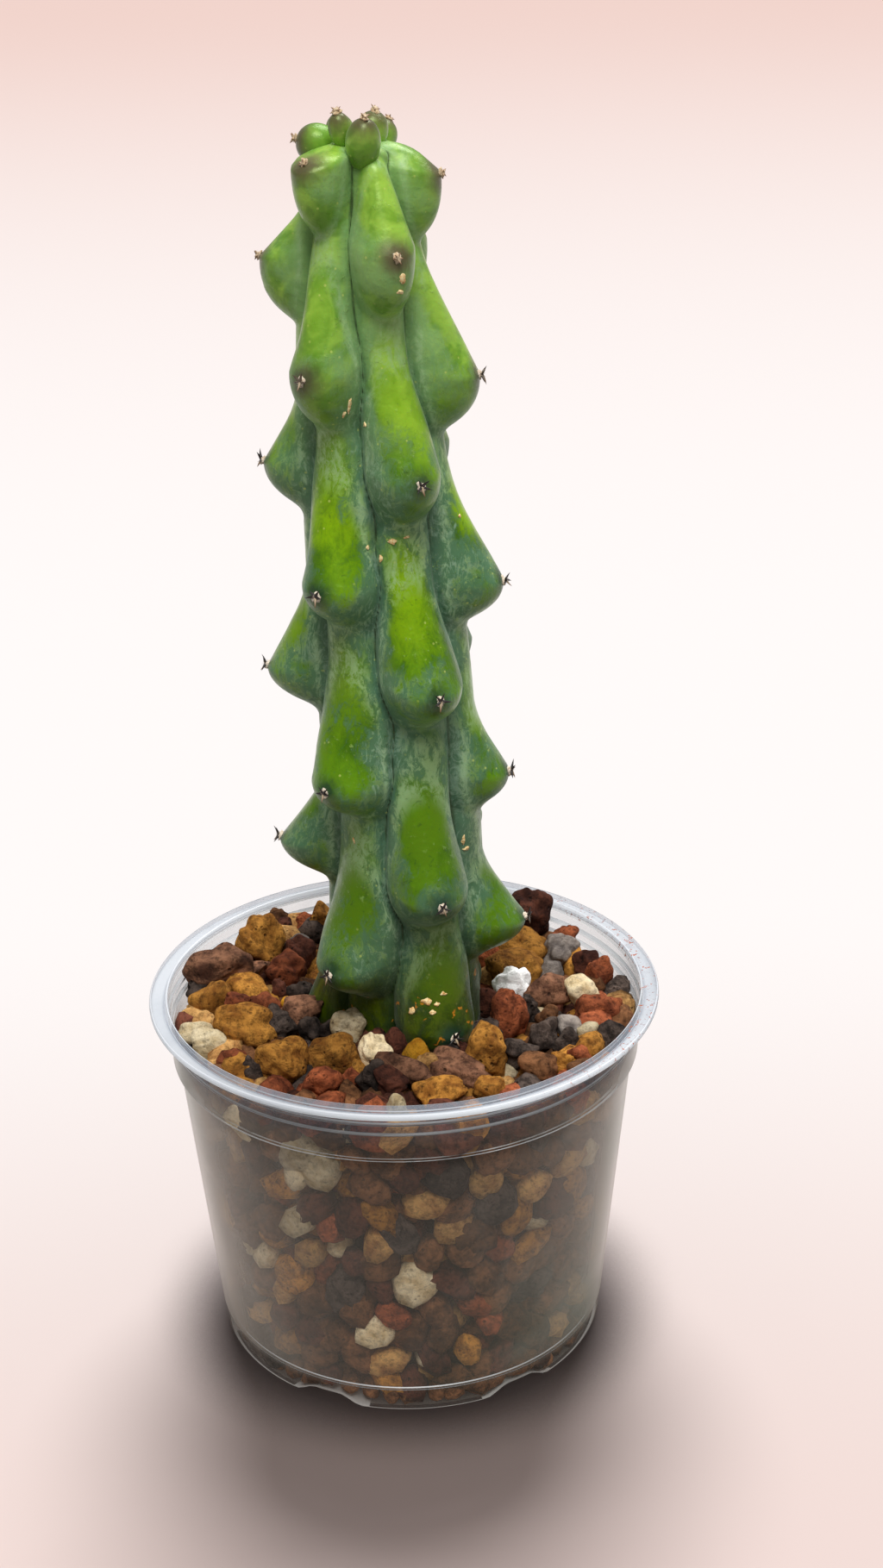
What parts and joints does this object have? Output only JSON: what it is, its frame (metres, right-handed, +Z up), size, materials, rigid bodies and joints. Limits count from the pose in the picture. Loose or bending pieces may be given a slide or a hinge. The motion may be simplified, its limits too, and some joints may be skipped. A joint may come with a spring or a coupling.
{
  "type": "potted boobie cactus",
  "caption": "Columnar cactus with breast-shaped tubercles and small spines, standing in a clear round nursery pot of mixed gravel.",
  "frame": {"origin": "under the centre of the pot, on the surface that its feet stand on", "axes": "+Z up along the pot's axis, -Y towards the side that the picture shows, +X to that side's right"},
  "size_m": [0.12, 0.12, 0.293],
  "materials": {
    "clear_plastic": "hazy translucent polypropylene",
    "gravel_mix": "rough porous mixed gravel: ochre pumice, red and black lava, bark",
    "cactus_skin": "waxy yellow-green skin with blue-grey bloom",
    "areole_wool": "cream wool",
    "spine_dark": "short dark spines",
    "cork_scar": "dry tan cork specks",
    "stone_ochre": "rough porous stone",
    "stone_brown": "rough stone",
    "stone_red": "rough porous lava",
    "stone_cream": "rough pale stone",
    "stone_white": "expanded perlite",
    "stone_dark": "rough dark lava",
    "stone_grey": "rough grey-brown stone"
  },
  "bodies": {
    "root": {"pot": "clear_plastic", "gravel": "gravel_mix", "cactus_stem": "cactus_skin", "stone_brown_flake": "stone_brown", "stone_ochre_back_left": "stone_ochre", "stone_ochre_long": "stone_ochre", "stone_ochre_front_left": "stone_ochre", "stone_ochre_brown_front": "stone_ochre", "stone_cream_front": "stone_cream", "stone_ochre_front_right": "stone_ochre", "stone_red_tall": "stone_red", "stone_white_perlite": "stone_white", "stone_dark_back": "stone_dark", "stone_orange_flake": "stone_red", "stone_grey_right": "stone_grey"}
  },
  "joints": []
}
